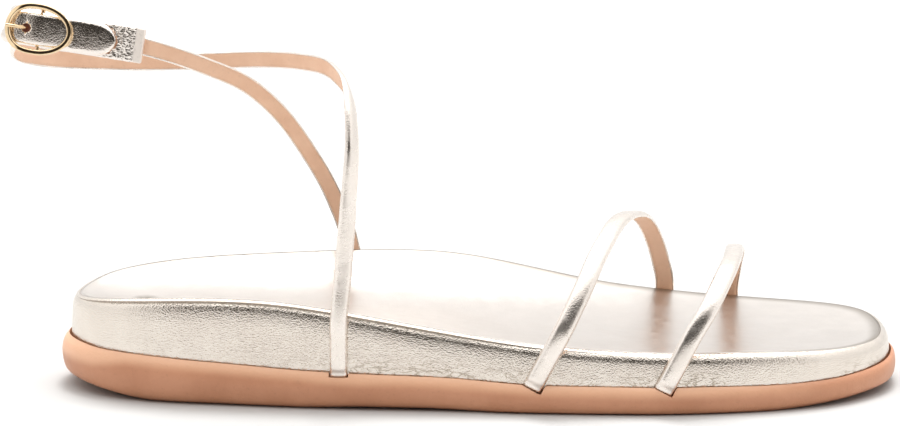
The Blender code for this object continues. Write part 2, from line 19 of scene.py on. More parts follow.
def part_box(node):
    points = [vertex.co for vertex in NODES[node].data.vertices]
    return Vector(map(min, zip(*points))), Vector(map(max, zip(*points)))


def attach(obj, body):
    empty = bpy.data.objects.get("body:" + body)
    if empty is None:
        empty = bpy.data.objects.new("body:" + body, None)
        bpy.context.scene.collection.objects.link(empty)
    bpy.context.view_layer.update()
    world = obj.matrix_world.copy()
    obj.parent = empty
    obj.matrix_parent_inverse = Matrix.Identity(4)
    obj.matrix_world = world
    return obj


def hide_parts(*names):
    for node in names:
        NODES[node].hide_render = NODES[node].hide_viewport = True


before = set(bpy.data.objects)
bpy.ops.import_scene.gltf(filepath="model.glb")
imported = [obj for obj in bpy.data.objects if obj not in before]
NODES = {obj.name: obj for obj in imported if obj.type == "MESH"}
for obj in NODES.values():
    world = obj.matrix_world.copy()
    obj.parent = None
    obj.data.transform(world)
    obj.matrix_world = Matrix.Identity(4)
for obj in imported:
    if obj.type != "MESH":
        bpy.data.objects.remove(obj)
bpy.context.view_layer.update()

# Sizes shared with the CAD source
SOLE_LENGTH = 0.255
SEAT_X = 0.045
HALF_WIDTH = 0.0433
LOOP_HEIGHT = 0.120
RIM_HEIGHT = 0.0325
GAP = 0.0003
EDGE_UP = 0.0040
ROOT_RISE = 0.0015
ROOT_REACH = 0.0030
TOE_WIDTH = 0.0058
ANKLE_WIDTH = 0.0053
STRAP_THICK = 0.0020
TAIL_THICK = 0.0011
TAIL_DEPTH = 0.0010
TAB_WIDTH = 0.0104
TAB_THICK = 0.0013
TAB_TIP = 0.0236
TAB_ROUND = 0.0075
HOLE_AT = 0.0036
HOLE_RADIUS = 0.0014
BAR_RADIUS = 0.0006
RING_RADIUS = 0.0008
RING_HALF_LONG = 0.0098
RING_HEEL_SHARE = 0.90
RING_SQUARE = 0.72
RING_HALF_HIGH = 0.0068
PIN_RADIUS = 0.0005
KEEP_LENGTH = 0.0316
KEEP_THICK = 0.0022
KEEP_LAP = 0.0120
PIN_LOOP = BAR_RADIUS + GAP + PIN_RADIUS + 0.00005
TAB_UNDER = PIN_LOOP + PIN_RADIUS + GAP
RING_OUT = TAB_UNDER + TAB_THICK + GAP + RING_RADIUS
PIN_OVER = RING_OUT + RING_RADIUS + GAP + PIN_RADIUS
PIN_REACH = RING_HALF_LONG * RING_HEEL_SHARE + PIN_RADIUS
SHANK_RADIUS = PIN_RADIUS * 1.02
BUCKLE_AT = (-0.0119 * SOLE_LENGTH, -0.0210, 0.937 * LOOP_HEIGHT)
BUCKLE_ALONG = (0.978, -0.170, -0.125)
BUCKLE_LEAN = math.radians(12)

# Strap routes: shares of SOLE_LENGTH from the back of the heel, of HALF_WIDTH and of LOOP_HEIGHT
REAR_TOE = (
    (0.597, -0.970, 0.208),
    (0.610, -0.912, 0.261),
    (0.625, -0.808, 0.321),
    (0.636, -0.693, 0.366),
    (0.648, -0.543, 0.402),
    (0.667, -0.185, 0.428),
    (0.694, 0.254, 0.402),
    (0.715, 0.670, 0.305),
    (0.723, 0.831, 0.241),
    (0.728, 0.924, 0.191),
)
REAR_TOE_ROOTS = (0.564, 0.729)
REAR_TOE_SEED = 41.0
FRONT_TOE = (
    (0.750, -0.958, 0.202),
    (0.767, -0.889, 0.257),
    (0.780, -0.774, 0.301),
    (0.790, -0.624, 0.330),
    (0.800, -0.323, 0.343),
    (0.806, 0.046, 0.337),
    (0.810, 0.370, 0.300),
    (0.810, 0.600, 0.260),
    (0.809, 0.785, 0.213),
    (0.808, 0.901, 0.171),
)
FRONT_TOE_ROOTS = (0.717, 0.808)
FRONT_TOE_SEED = 47.0

# The same, the outward side's bearing in degrees from the toe towards medial, and the share of the width
LATERAL_ANKLE = (
    (0.341, -0.808, 0.339, -90, 1.00),
    (0.347, -0.762, 0.528, -60, 1.00),
    (0.350, -0.693, 0.675, -40, 1.00),
    (0.344, -0.508, 0.775, -26, 1.00),
    (0.325, -0.208, 0.813, 10, 1.00),
    (0.286, 0.208, 0.811, 50, 1.00),
    (0.239, 0.462, 0.800, 70, 1.00),
    (0.155, 0.624, 0.784, 86, 1.00),
    (0.054, 0.647, 0.782, 92, 1.00),
    (-0.034, 0.485, 0.808, 122, 1.15),
    (-0.052, 0.162, 0.856, 170, 1.45),
    (-0.039, -0.208, 0.938, 208, 1.95),
)
LATERAL_ROOT = 0.336
LATERAL_SEED = 21.0
MEDIAL_ANKLE = (
    (0.345, 0.690, 0.288, 90, 1.00),
    (0.324, 0.577, 0.433, 90, 1.00),
    (0.296, 0.346, 0.565, 90, 1.00),
    (0.259, 0.046, 0.699, 90, 1.00),
    (0.221, -0.231, 0.788, 90, 1.00),
    (0.181, -0.439, 0.841, 90, 1.00),
    (0.142, -0.554, 0.879, 86, 1.00),
)
MEDIAL_ROOT = 0.348
MEDIAL_SEED = 33.0

# Half of a dressed strap's section, from the lining's middle to the crown: shares of half the width and of
# the thickness, and the material of the face that starts there
HALF_SECTION = (
    (0.00, 0.03, "lining"),
    (0.45, 0.03, "lining"),
    (0.78, 0.03, "lining"),
    (0.82, 0.10, "gold"),
    (0.85, 0.02, "gold"),
    (0.93, 0.00, "gold"),
    (0.99, 0.07, "gold"),
    (1.00, 0.20, "gold"),
    (0.975, 0.33, "gold"),
    (0.945, 0.40, "gold"),
    (0.93, 0.52, "gold"),
    (0.86, 0.68, "gold"),
    (0.72, 0.83, "gold"),
    (0.52, 0.93, "gold"),
    (0.26, 0.985, "gold"),
    (0.00, 1.00, "gold"),
)
FLAT_HEIGHTS = (0.60, 0.84, 0.93, 0.97, 0.99, 1.00)  # of the last six points where the strap is a flat tab
FOOT_CENTRE = 0.6  # share of RIM_HEIGHT from which the toe straps face away
FLATTENED_AT = 0.9  # share by which a strap is wider than ANKLE_WIDTH once it is wholly flat

# Rings along each strap, and their direction's small step
TOE_RINGS = 220
MEDIAL_RINGS = 300
LATERAL_RINGS = 460
TIP_RINGS = 22
TIP_ARC = 0.495 * math.pi  # of the round tip, just short of its closing
SHORT_STEP = 1e-5

# The holed tab
TAB_RUN = (-0.0078, -0.0040, 0.0, 0.006, 0.012, TAB_TIP - TAB_ROUND, TAB_TIP)  # from the bar to its tip
TAB_JOINS = 1.2 * TAB_THICK  # thickness where the strap widens into it
TAB_LEATHER = 1.5 * TAB_TIP  # from its tip to where its own leather starts
TAB_CROWN = 0.0006  # how far it bows out inside the ring
CROWN_REACH = 2.6 * TAB_TIP
CROWN_LONG = 0.9  # share of RING_HALF_LONG
# the punch stops short of the lining, so the hole keeps a closed bottom in a dark tone, a painted shade
PUNCH_SINK = 0.25  # share of TAB_THICK from the lining to the hole's dark bottom
PUNCH_LONG = 0.004

# The buckle tab
BAND_WIDE = 0.0027  # smooth stretch at its toe end
BAND_FADE = 0.0004
STITCHED_AT = (KEEP_LENGTH - 0.001, KEEP_LENGTH - KEEP_LAP)  # of the medial strap's end behind it

# Casts at the CAD solids: where they start, and how far from the wall they go down
CAST_SIDE = 0.1
CAST_RAND = 0.05
CAST_RIM = 0.08
ASIDE = 0.006  # clear of the pocket cut for a strap's end
WALL_HEIGHT = 0.013  # of a place on the wall, well between the rand and the rim
RAND_OUT = 0.0007
RIM_IN = 0.0028
WALL_OVER_RAND = 0.002
CASTS = 24
CAST_INSET = 0.008

# How far the wall leans in at its rim, from how far below it, where along the shoe this sets in and ends,
# and how far from the wall it fades out
RIM_LEAN = 0.0008
RIM_LEAN_DEEP = 0.0078
LEAN_FROM = (-0.052, -0.022)
LEAN_TO = (0.060, 0.125)
LEAN_FADE = (0.004, 0.014)
WALL_TILT = 0.4  # largest upward share of the direction of a place that counts as wall
INSOLE_TILT = 0.5  # the same at the insole's edge
INSOLE_EDGE = 0.006  # from the footbed's wall to the insole's edge, at most
INSOLE_FILL = 0.0004  # how far the insole's edge is pressed out against the rim

# Where the wall's folds begin along the shoe, fade out above the rand and fade out towards level faces
FOLDS_FROM = (0.000, 0.060)
FOLDS_ABOVE = (0.0005, 0.0075)
FOLDS_TILT = (0.35, 0.70)

# Where the rand's shoulder gets a painted highlight: below its top edge, and up to the toe
SHOULDER_DEEP = (0.0006, 0.0042)
SHOULDER_TO = (0.14, 0.20)
SOLE_RISE = (0.0015, 0.0040)  # above the ground, where the rand starts to be uneven

# The insole's edge, darkened by painted shade at the rim: on the lateral side strongest at the heel and at
# the toe
SEAM_WIDE = 0.0017
SEAM_LATERAL = 0.35
SEAM_MEDIAL = 0.90
SEAM_TOE = 0.7
MEDIAL_WIDER = 1.3
MEDIAL_SEAM_FROM = (-0.045, -0.015)
HEEL_SEAM = (-0.051, -0.038)
TOE_SEAM = (0.13, 0.19)
LATERAL_TO = (-0.016, -0.002)
SEAM_FADE = (0.0003, 1.0)  # shares of its width

# Unevenness: layers of noise, each a height, a scale and a seed
RAND_WAVES = ((0.00012, 60, 3.0), (0.00005, 220, 5.0))
WALL_PUCKER = (0.00010, 240, 9.0)
PUCKER_STRETCH = (1.0, 1.0, 0.4)
WALL_WAVE = (0.00008, 70, 2.0)
INSOLE_WAVES = ((0.00010, 45, 7.0), (0.00003, 160, 8.0))
STRAP_WAVES = ((0.00006, 150, 0.0), (0.00003, 420, 4.0))  # added to the strap's own seed
TAB_CREASES = (0.00010, 420, 12.0)
TAB_STRETCH = (1.0, 1.0, 0.35)
TAB_WAVE = (0.00006, 900, 14.0)

# Meshes
WELD = 0.000005  # points nearer than this are one
LEVELS = 3  # of subdivision
SHARP = math.radians(50)  # edges sharper than this are kept
SHARPNESS = 0.8
FOOTBED_ROUNDS = 24
INSOLE_ROUNDS = 2
TAB_ROUNDS = 4
TAB_VOXEL = 0.00022
ROD_FINENESS = 8  # bevel resolution, which gives a rod 20 sides
RING_STEPS = 160
LOOP_STEPS = 40
BAR_STEPS = 56
SHANK_STEPS = 60

# Tones: of specks, of the rand's painted highlight, of the insole edge's painted shade and of each material
SPECK = (0.36, 0.30, 0.23)
# painted highlight: the paler tone laid on the rand's shoulder
PAINTED_HIGHLIGHT = (0.97, 0.60, 0.39)
# painted shade: the darker tone along the insole's edge at the rim
SEAM_PAINTED_SHADE = (0.36, 0.32, 0.28)
WALL_TONES = ((0.775, 0.705, 0.635), (0.805, 0.740, 0.670))
STRAP_TONES = ((0.850, 0.785, 0.725), (0.890, 0.825, 0.770))
TOP_TONES = ((0.715, 0.668, 0.630), (0.738, 0.692, 0.655))
BAND_SATIN = 0.45  # roughness that the buckle tab's smooth stretch adds
LINING_TONES = ((0.86, 0.56, 0.39), (0.78, 0.48, 0.32))
RAND_TONES = ((0.61, 0.285, 0.160), (0.54, 0.240, 0.128))
# the hole's cut edge, and its closed bottom as painted shade inside the hole
PUNCHED_EDGE_AND_SHADE_TONES = ((0.30, 0.10, 0.07), (0.20, 0.07, 0.05))
PLATE_TONE = (0.86, 0.66, 0.42)
FLOOR_TONES = ((0.51, 0.51, 0.505), (0.53, 0.53, 0.525))
FLOOR_FAR = 6.0  # from the shoe to the floor's edges

# Layers of the metallic leather: scales of their noise, depths, and warps, each an amount, the scale of its
# noise and a stretch
PEBBLES = 2300
PEBBLE_WARP = (0.0006, 1500, (0.8, 0.8, 1.0))
PEBBLE_DEEP = 0.00022
FINE_GRAIN = 4200
FINE_DEEP = 0.00012
BROAD_WAVE = 260
BROAD_DEEP = 0.0006
TONE_PATCH = 90
SPECKS = 2600
CURLS = 900
CURL_WARP = (0.0020, 400, (0.42, 0.42, 1.0))
CURL_PATCH = 26
FOLDS = 560
FOLD_WARP = (0.0022, 260, (0.30, 0.30, 1.0))
FOLD_PATCH = 34
FOLD_DEEP = 0.0004

# Layers of the tan leather, and the waviness of the plate
PORES = 1500
PORE_WARP = (0.0008, 900)
PORE_DEEP = 0.0003
TAN_GRAIN = 2400
TAN_GRAIN_DEEP = 0.0002
TAN_CLOUD = 55
TAN_SPECKS = 900
SPECK_TONE = 0.62  # share of the dark tone
# share of the painted highlight on the rand's shoulder
PAINTED_HIGHLIGHT_SHARE = 0.6
PLATE_WAVE = 700
PLATE_DEEP = 0.0002
PLATE_PATCH = 300
PLATE_DARKER = 0.92

# Light: strengths, and the stretches of a direction's parts over which each one changes
HORIZON = 0.98
UPPER = 1.20
UPPER_FROM = (0.20, 0.50)
OVERHEAD = 2.0
OVERHEAD_FROM = (0.72, 0.92)
BACK_BOOST = 2.4
BACK_FROM = (0.0, 0.3)
BACK_STEEP = (0.76, 0.88)
FRONT_DARK = 0.03
FRONT_BEARING = (-0.90, -0.66)
FRONT_TOP = (0.62, 0.71)
FRONT_FOOT = (-0.02, 0.20)
ROOM_TONE = (1.0, 0.995, 0.985)
DARK_TONE = (1.0, 0.88, 0.76)
LAMP_FROM = (0.05, 0.40, 1.0)
LAMP_STRENGTH = 2.1
LAMP_SOFT = math.radians(22)

# Camera
CAMERA_AT = (0.0814, -1.4661, 0.3693)
CAMERA_TO = (0.0737, 0.0, 0.0523)
CAMERA_LENS = 197.16
SENSOR_WIDE = 36.0
CAMERA_REACH = 20.0


# Curves and places


def unit(v):
    v = np.asarray(v, float)
    return v / np.linalg.norm(v, axis=-1, keepdims=True)


def curve_through(places, values):
    """A smooth function through the given values, with slopes from neighbouring points."""
    places = np.asarray(places, float)
    values = np.asarray(values, float)
    slopes = np.gradient(values, places, axis=0)

    def at(where):
        where = np.atleast_1d(np.asarray(where, float))
        left = np.clip(np.searchsorted(places, where) - 1, 0, len(places) - 2)
        span = places[left + 1] - places[left]
        part = (where - places[left]) / span
        if values.ndim > 1:
            part = part[:, None]
            span = span[:, None]
        start = 2 * part**3 - 3 * part**2 + 1
        leave = part**3 - 2 * part**2 + part
        arrive = part**3 - part**2
        return (
            start * values[left]
            + leave * span * slopes[left]
            + (1 - start) * values[left + 1]
            + arrive * span * slopes[left + 1]
        )

    return at


def tree_of(node):
    mesh = NODES[node].data
    return BVHTree.FromPolygons([v.co for v in mesh.vertices], [p.vertices for p in mesh.polygons])


DOWN = Vector((0, 0, -1))
FOOTBED = tree_of("footbed")
OUTSOLE = tree_of("outsole")


def wall_at(x, side, height):
    """The footbed's wall at this x, and its outward direction in plan."""
    hit, normal, _, _ = FOOTBED.ray_cast(Vector((x, side * CAST_SIDE, height)), Vector((0, -side, 0)))
    return hit.y, unit((normal.x, normal.y, 0.0))


def rand_top(x, side):
    """Height of the rand's top edge beside the wall."""
    tops = []
    for near in (x - ASIDE, x + ASIDE):
        y, _ = wall_at(near, side, WALL_HEIGHT)
        hit, _, _, _ = OUTSOLE.ray_cast(Vector((near, y + side * RAND_OUT, CAST_RAND)), DOWN)
        tops.append(hit.z)
    return sum(tops) / 2


def rim_at(x, side):
    """Height of the footbed's rounded top edge."""
    y, _ = wall_at(x, side, WALL_HEIGHT)
    hit, _, _, _ = FOOTBED.ray_cast(Vector((x, y - side * RIM_IN, CAST_RIM)), DOWN)
    return hit.z


# Meshes


def new_object(name, mesh, materials, node=None):
    item = bpy.data.objects.new(name, mesh)
    bpy.context.scene.collection.objects.link(item)
    for material in materials:
        mesh.materials.append(material)
    if node:
        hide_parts(node)
    return item


def applied(item):
    """The object's mesh with its modifiers applied."""
    depsgraph = bpy.context.evaluated_depsgraph_get()
    mesh = bpy.data.meshes.new_from_object(item.evaluated_get(depsgraph))
    item.modifiers.clear()
    old = item.data
    item.data = mesh
    bpy.data.meshes.remove(old)
    return mesh


def smooth_copy(node, name, materials, rounds=0):
    """A subdivided copy of a CAD node that keeps its sharp edges. It goes through the node's regular points,
    or is smoothed this many rounds instead."""
    mesh = bpy.data.meshes.new(name)
    work = bmesh.new()
    work.from_mesh(NODES[node].data)
    bmesh.ops.remove_doubles(work, verts=work.verts, dist=WELD)
    bmesh.ops.join_triangles(work, faces=work.faces, angle_face_threshold=0.5, angle_shape_threshold=1.2)
    crease = work.edges.layers.float.new("crease_edge")
    for edge in work.edges:
        if len(edge.link_faces) == 2 and edge.calc_face_angle(0.0) > SHARP:
            edge[crease] = SHARPNESS
    for layer in list(work.loops.layers.uv.values()):
        work.loops.layers.uv.remove(layer)
    regular = np.ones(len(work.verts))
    for v in work.verts:
        four = len(v.link_faces) == 4 and all(len(face.verts) == 4 for face in v.link_faces)
        if not four or any(edge[crease] for edge in v.link_edges):
            regular[v.index] = 0.0
    work.to_mesh(mesh)
    work.free()
    item = new_object(name, mesh, materials, node)
    finer = item.modifiers.new("finer", "SUBSURF")
    finer.levels = 1
    through, _ = arrays_of(mesh)
    control = through.copy()
    for _ in range(0 if rounds else 2):
        control += (through - subdivided(item)[: len(through)]) * regular[:, None]
        move_points(mesh, control)
    finer.levels = LEVELS
    if rounds:
        rounder = item.modifiers.new("rounder", "SMOOTH")
        rounder.iterations = rounds
    applied(item)
    item.data.shade_smooth()
    return item


def subdivided(item):
    """The evaluated points, of which the first are the mesh's own."""
    depsgraph = bpy.context.evaluated_depsgraph_get()
    shown = item.evaluated_get(depsgraph)
    points, _ = arrays_of(shown.to_mesh())
    shown.to_mesh_clear()
    return points


def arrays_of(mesh):
    points = np.empty(len(mesh.vertices) * 3)
    normals = np.empty(len(mesh.vertices) * 3)
    mesh.vertices.foreach_get("co", points)
    mesh.vertex_normals.foreach_get("vector", normals)
    return points.reshape(-1, 3), normals.reshape(-1, 3)


def move_points(mesh, points):
    mesh.vertices.foreach_set("co", points.ravel())
    mesh.update()


def value_on(mesh, name, values):
    """Stores a number for each point, for the material to read."""
    layer = mesh.attributes.new(name, "FLOAT", "POINT")
    layer.data.foreach_set("value", np.asarray(values, np.float32))


def noise_at(points, scale, seed=0.0):
    """Smooth noise from -1 to 1 with features about 1 / scale across."""
    shift = Vector((seed, seed * 1.7, seed * 0.3))
    return np.array([noise.noise(Vector(p) * scale + shift) for p in points])


def waves(points, *layers):
    return sum(height * noise_at(points, scale, seed) for height, scale, seed in layers)


def smoothstep(low, high, values):
    part = np.clip((values - low) / (high - low), 0, 1)
    return part * part * (3 - 2 * part)


# Shader nodes

RANGE = ("From Min", "From Max", "To Min", "To Max")


class Shader:
    """A Principled material and short calls that add its nodes."""

    def __init__(self, name):
        self.material = bpy.data.materials.new(name)
        self.material.use_nodes = True
        self.tree = self.material.node_tree
        self.shader = self.tree.nodes["Principled BSDF"]
        self.places = self.node("ShaderNodeTexCoord").outputs["Object"]

    def node(self, kind, **settings):
        made = self.tree.nodes.new(kind)
        for key, value in settings.items():
            setattr(made, key, value)
        return made

    def link(self, source, target):
        self.tree.links.new(source, target)

    def set(self, **values):
        for key, value in values.items():
            self.shader.inputs[key.replace("_", " ")].default_value = value

    def noise(self, scale, detail=2.0, rough=0.5, vector=None):
        made = self.node("ShaderNodeTexNoise")
        made.inputs["Scale"].default_value = scale
        made.inputs["Detail"].default_value = detail
        made.inputs["Roughness"].default_value = rough
        self.link(vector or self.places, made.inputs["Vector"])
        return made.outputs["Fac"]

    def cells(self, scale, vector):
        made = self.node("ShaderNodeTexVoronoi", feature="F1")
        made.inputs["Scale"].default_value = scale
        self.link(vector, made.inputs["Vector"])
        return made.outputs["Distance"]

    def spread(self, value, from_low, from_high, to_low=0.0, to_high=1.0):
        made = self.node("ShaderNodeMapRange", interpolation_type="SMOOTHSTEP")
        self.link(value, made.inputs["Value"])
        for key, number in zip(RANGE, (from_low, from_high, to_low, to_high)):
            made.inputs[key].default_value = number
        return made.outputs["Result"]

    def math(self, operation, one, two):
        made = self.node("ShaderNodeMath", operation=operation)
        for socket, value in zip(made.inputs, (one, two)):
            if isinstance(value, (int, float)):
                socket.default_value = value
            else:
                self.link(value, socket)
        return made.outputs[0]

    def mix(self, share, one, two):
        made = self.node("ShaderNodeMix", data_type="RGBA")
        for key, value in (("Factor", share), ("A", one), ("B", two)):
            socket = made.inputs[key]
            if isinstance(value, (int, float)):
                socket.default_value = value
            elif isinstance(value, tuple):
                socket.default_value = (*value, 1.0)
            else:
                self.link(value, socket)
        return made.outputs["Result"]

    def lines(self, value, thin, wide):
        """Thin lines where a noise passes its middle value."""
        off = self.math("ABSOLUTE", self.math("SUBTRACT", value, 0.5), 0.0)
        return self.spread(off, thin, wide, 1.0, 0.0)

    def value(self, name):
        return self.node("ShaderNodeAttribute", attribute_name=name).outputs["Fac"]

    def warped(self, amount, scale, stretch=(1.0, 1.0, 1.0)):
        """The surface's own coordinates, stretched and pushed about by noise."""
        push = self.node("ShaderNodeTexNoise")
        push.inputs["Scale"].default_value = scale
        self.link(self.places, push.inputs["Vector"])
        shifted = self.node("ShaderNodeVectorMath", operation="MULTIPLY_ADD")
        self.link(push.outputs["Color"], shifted.inputs[0])
        shifted.inputs[1].default_value = (amount, amount, amount)
        self.link(self.places, shifted.inputs[2])
        scaled = self.node("ShaderNodeVectorMath", operation="MULTIPLY")
        self.link(shifted.outputs[0], scaled.inputs[0])
        scaled.inputs[1].default_value = stretch
        return scaled.outputs[0]

    def bump(self, height, strength, depth, under=None):
        made = self.node("ShaderNodeBump")
        made.inputs["Strength"].default_value = strength
        made.inputs["Distance"].default_value = depth
        self.link(height, made.inputs["Height"])
        if under is not None:
            self.link(under, made.inputs["Normal"])
        return made.outputs["Normal"]

    def finish(self, colour=None, roughness=None, normal=None):
        for source, key in ((colour, "Base Color"), (roughness, "Roughness"), (normal, "Normal")):
            if source is not None:
                self.link(source, self.shader.inputs[key])
        return self.material


def gold_leather(name, tones, grain, rough, crease=0.0, seam_shade=False, band=False, size=1.0):
    """Champagne metallic leather between two tones. Grain is the strength of its pebbles and size theirs,
    crease is the strength of its wrinkles, which lie where the stored value "low" is high, painted shade
    darkens its edge and a band is a smooth satin stretch, both by the stored values of their names."""
    s = Shader(name)
    s.set(Metallic=1.0)
    pebble = s.cells(PEBBLES / size, s.warped(*PEBBLE_WARP))
    fine = s.noise(FINE_GRAIN / size, 2, 0.6)
    broad = s.noise(BROAD_WAVE, 3, 0.55)
    patch = s.noise(TONE_PATCH, 2)
    satin = s.spread(broad, 0.35, 0.65, rough, rough + 0.06)
    if band:
        plain = s.math("SUBTRACT", 1.0, s.value("band"))
        pebble = s.math("MULTIPLY", pebble, plain)
        fine = s.math("MULTIPLY", fine, plain)
        satin = s.math("ADD", satin, s.math("MULTIPLY", s.value("band"), BAND_SATIN))
    normal = s.bump(fine, 0.10 * grain, FINE_DEEP)
    normal = s.bump(pebble, 0.20 * grain, PEBBLE_DEEP * size, normal)
    normal = s.bump(broad, 0.04 * grain, BROAD_DEEP, normal)
    colour = s.mix(s.spread(patch, 0.35, 0.68), *tones)
    speck = s.spread(s.noise(SPECKS / size, 2, 0.6), 0.54, 0.70)
    colour = s.mix(s.math("MULTIPLY", speck, 0.12 * min(1.0, grain)), colour, SPECK)
    if crease:
        curl = s.lines(s.noise(CURLS, 2, 0.5, s.warped(*CURL_WARP)), 0.01, 0.05)
        curl = s.math("MULTIPLY", curl, s.spread(s.noise(CURL_PATCH, 1), 0.42, 0.60))
        colour = s.mix(s.math("MULTIPLY", curl, 0.18), colour, SPECK)
        folds = s.lines(s.noise(FOLDS, 3, 0.55, s.warped(*FOLD_WARP)), 0.01, 0.04)
        near = s.math("MULTIPLY", s.value("low"), s.spread(s.noise(FOLD_PATCH, 2), 0.44, 0.58))
        folds = s.math("MULTIPLY", folds, near)
        normal = s.bump(folds, -crease, FOLD_DEEP, normal)
        colour = s.mix(s.math("MULTIPLY", folds, 0.8), colour, SPECK)
    # painted shade along the insole's edge, by its stored value
    if seam_shade:
        colour = s.mix(s.value("seam_shade"), colour, SEAM_PAINTED_SHADE)
    return s.finish(colour, satin, normal)


def tan_leather(name, tones, grain, gloss=0.50, shoulder_highlight=False):
    """Plain vegetable-tanned leather between a light and a dark tone. A shoulder gets a painted highlight,
    paler by the stored value of its name, where light from above would fall."""
    light, dark = tones
    s = Shader(name)
    s.set(Metallic=0.0)
    pores = s.cells(PORES, s.warped(*PORE_WARP))
    fine = s.noise(TAN_GRAIN, 3, 0.6)
    cloud = s.noise(TAN_CLOUD, 4, 0.6)
    normal = s.bump(fine, 0.22 * grain, TAN_GRAIN_DEEP)
    normal = s.bump(pores, 0.22 * grain, PORE_DEEP, normal)
    colour = s.mix(s.spread(cloud, 0.32, 0.68), light, dark)
    speck = s.spread(s.noise(TAN_SPECKS, 3, 0.65), 0.58, 0.70)
    colour = s.mix(s.math("MULTIPLY", speck, 0.16), colour, tuple(SPECK_TONE * c for c in dark))
    # painted highlight: the rand's shoulder made paler
    if shoulder_highlight:
        colour = s.mix(s.math("MULTIPLY", s.value("shoulder_highlight"), PAINTED_HIGHLIGHT_SHARE), colour, PAINTED_HIGHLIGHT)
    rough = s.spread(cloud, 0.3, 0.7, gloss, gloss + 0.10)
    return s.finish(colour, rough, normal)


def polished(name, colour, rough):
    """Plated metal with the faint waviness of a cast and tumbled part."""
    s = Shader(name)
    s.set(Metallic=1.0)
    wave = s.noise(PLATE_WAVE, 2)
    normal = s.bump(wave, 0.10, PLATE_DEEP)
    darker = tuple(PLATE_DARKER * c for c in colour)
    tint = s.mix(s.spread(s.noise(PLATE_PATCH, 2), 0.4, 0.6), colour, darker)
    return s.finish(tint, s.spread(wave, 0.3, 0.7, rough, rough + 0.05), normal)


GOLD_WALL = gold_leather("Gold leather wall", WALL_TONES, 1.7, 0.20, crease=0.7)
GOLD_TOP = gold_leather("Gold leather insole", TOP_TONES, 0.45, 0.30, seam_shade=True)
GOLD_STRAP = gold_leather("Gold leather strap", STRAP_TONES, 0.70, 0.24)
GOLD_HOLED = gold_leather("Gold leather holed tab", STRAP_TONES, 0.85, 0.14)
GOLD_TAB = gold_leather("Gold leather tab", STRAP_TONES, 2.6, 0.17, band=True, size=1.9)
LINING = tan_leather("Strap lining", LINING_TONES, 0.5)
RAND = tan_leather("Rand leather", RAND_TONES, 1.0, gloss=0.36, shoulder_highlight=True)
# the hole's cut edge and the painted shade of its closed bottom
PUNCHED_EDGE_AND_SHADE = tan_leather("Hole edge and painted shade", PUNCHED_EDGE_AND_SHADE_TONES, 0.5)
METAL = polished("Pale gold plate", PLATE_TONE, 0.08)


# Sole


def build_rand():
    item = smooth_copy("outsole", "sole_rand", [RAND])
    points, normals = arrays_of(item.data)
    wave = waves(points, *RAND_WAVES) * smoothstep(*SOLE_RISE, points[:, 2])
    # painted highlight on the rand's shoulder: just below its top edge, fading out towards the toe
    below = rand_line(points) - points[:, 2]
    shoulder_highlight = 1 - smoothstep(*SHOULDER_DEEP, below)
    value_on(item.data, "shoulder_highlight", shoulder_highlight * (1 - smoothstep(*SHOULDER_TO, points[:, 0])))
    move_points(item.data, points + normals * wave[:, None])
    return item


def build_footbed():
    """The wrapped footbed, and its wall for the pieces that meet it."""
    item = smooth_copy("footbed", "footbed_wrap", [GOLD_WALL], FOOTBED_ROUNDS)
    points, normals = arrays_of(item.data)
    low = 1 - smoothstep(*FOLDS_ABOVE, points[:, 2] - rand_line(points))
    upright = 1 - smoothstep(*FOLDS_TILT, np.abs(normals[:, 2]))
    pucker = waves(points * np.array(PUCKER_STRETCH), WALL_PUCKER)
    shift = (pucker * low + waves(points, WALL_WAVE)) * upright
    move_points(item.data, points + normals * shift[:, None])
    value_on(item.data, "low", low * upright * smoothstep(*FOLDS_FROM, points[:, 0]))
    wall = wall_tree(points, normals)
    lean_in(item, wall)
    return item, wall


def wall_tree(points, normals):
    """The footbed's wall near its rim: a tree of places and their outward directions in plan."""
    near = rim_line(points) - points[:, 2] < RIM_LEAN_DEEP
    chosen = np.flatnonzero(near & (np.abs(normals[:, 2]) < WALL_TILT))
    tree = KDTree(len(chosen))
    for index, place in enumerate(points[chosen]):
        tree.insert(place, index)
    tree.balance()
    return tree, unit(normals[chosen] * np.array([1.0, 1.0, 0.0]))


def lean_in(item, wall):
    """Leans the upper wall inwards, with the rim and the insole's edge, along the middle of the shoe."""
    tree, outward = wall
    points, _ = arrays_of(item.data)
    share = np.clip(1 - (rim_line(points) - points[:, 2]) / RIM_LEAN_DEEP, 0, 1) ** 2
    share *= smoothstep(*LEAN_FROM, points[:, 0]) * (1 - smoothstep(*LEAN_TO, points[:, 0]))
    for index in np.flatnonzero(share > 0.001):
        _, found, distance = tree.find(points[index])
        fade = 1 - min(max((distance - LEAN_FADE[0]) / (LEAN_FADE[1] - LEAN_FADE[0]), 0), 1)
        points[index] -= outward[found] * RIM_LEAN * share[index] * fade
    move_points(item.data, points)


def line_height(points, height_at):
    """A height known at a place along the shoe and a side, for each point, from a few casts."""
    lo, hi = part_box("footbed")
    along = np.linspace(lo.x + CAST_INSET, hi.x - CAST_INSET, CASTS)
    tops = [[height_at(x, side) for x in along] for side in (-1, 1)]
    lateral = np.interp(points[:, 0], along, tops[0])
    medial = np.interp(points[:, 0], along, tops[1])
    return np.where(points[:, 1] < 0, lateral, medial)


def rand_line(points):
    return line_height(points, rand_top)


def rim_line(points):
    return line_height(points, rim_at)


